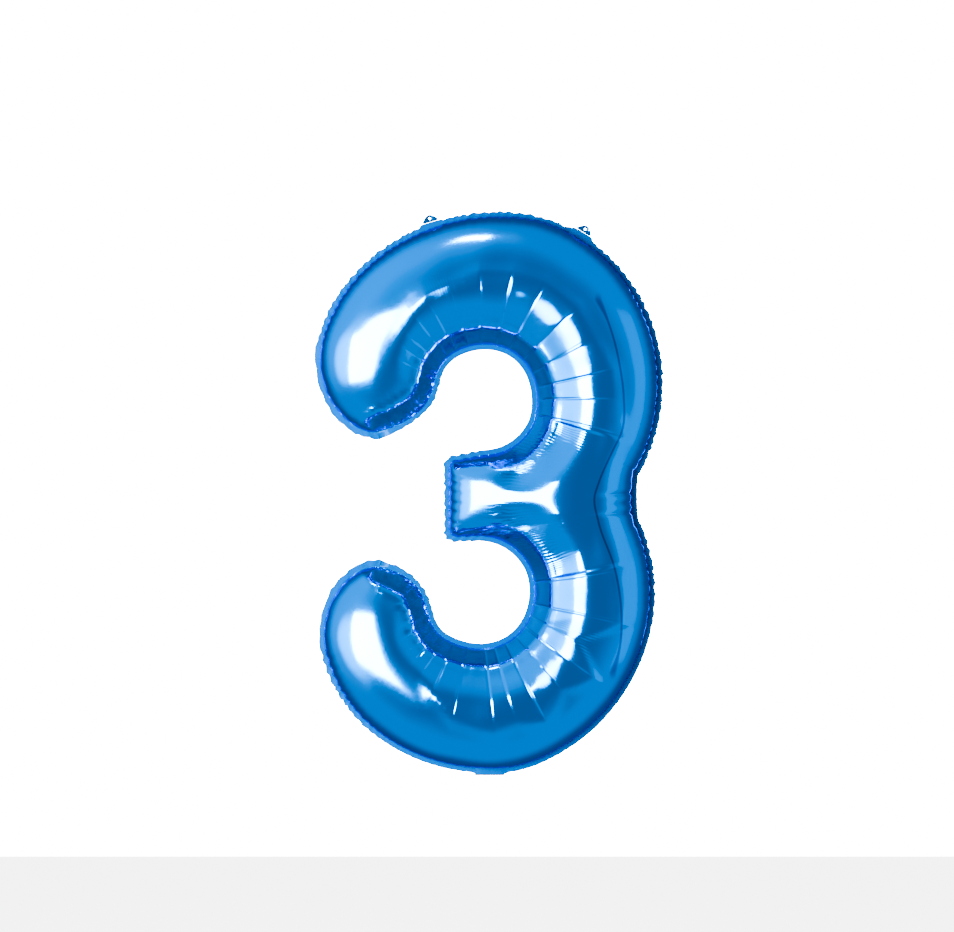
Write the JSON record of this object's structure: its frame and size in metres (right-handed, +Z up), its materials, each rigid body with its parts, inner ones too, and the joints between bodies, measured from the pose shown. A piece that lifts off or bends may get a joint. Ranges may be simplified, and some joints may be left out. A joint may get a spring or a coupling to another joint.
{
  "type": "foil number balloon",
  "caption": "Inflated metallic blue foil balloon in the shape of the figure 3, with a welded edge flange, eyelet tabs to hang it by and a filling tail with a flat valve.",
  "frame": {"origin": "midway between the two eyelets that the balloon hangs from, in the plane of the weld", "axes": "+Z up the figure, +X to the right as the figure is read, the front faces -Y"},
  "size_m": [0.5429, 0.1494, 0.8848],
  "materials": {
    "blue_foil": "metallised film with a clear blue lacquer, mirror gloss",
    "fused_seal": "fused inner coats of the two sheets, satin",
    "valve_film": "clear thin film, satin"
  },
  "bodies": {
    "balloon": {"front_foil_panel": "blue_foil", "back_foil_panel": "blue_foil", "perimeter_heat_seal": "fused_seal", "valve_front_film": "valve_film", "valve_back_film": "valve_film"},
    "left_tab": {"hang_tab_left": "blue_foil"},
    "right_tab": {"hang_tab_right": "blue_foil"},
    "filling_tail": {"tail_front_film": "blue_foil", "tail_back_film": "blue_foil", "tail_side_weld_left": "fused_seal", "tail_side_weld_right": "fused_seal", "valve_front_sleeve": "valve_film", "valve_back_sleeve": "valve_film"}
  },
  "joints": [
    {"name": "left_tab_fold", "type": "hinge", "parent": "balloon", "child": "left_tab", "pos_m": [-0.12052, 0, 0.00278], "axis": [0.9593, 0, 0.2823], "range_deg": [-80, 80], "stiffness_Nm_per_rad": 0.0005},
    {"name": "right_tab_fold", "type": "hinge", "parent": "balloon", "child": "right_tab", "pos_m": [0.11914, 0, -0.01349], "axis": [0.8563, 0, -0.5165], "range_deg": [-80, 80], "stiffness_Nm_per_rad": 0.0005},
    {"name": "tail_fold", "type": "hinge", "parent": "balloon", "child": "filling_tail", "pos_m": [-0.02802, 0, -0.86399], "axis": [-1, 0, 0], "range_deg": [0, 150]}
  ]
}
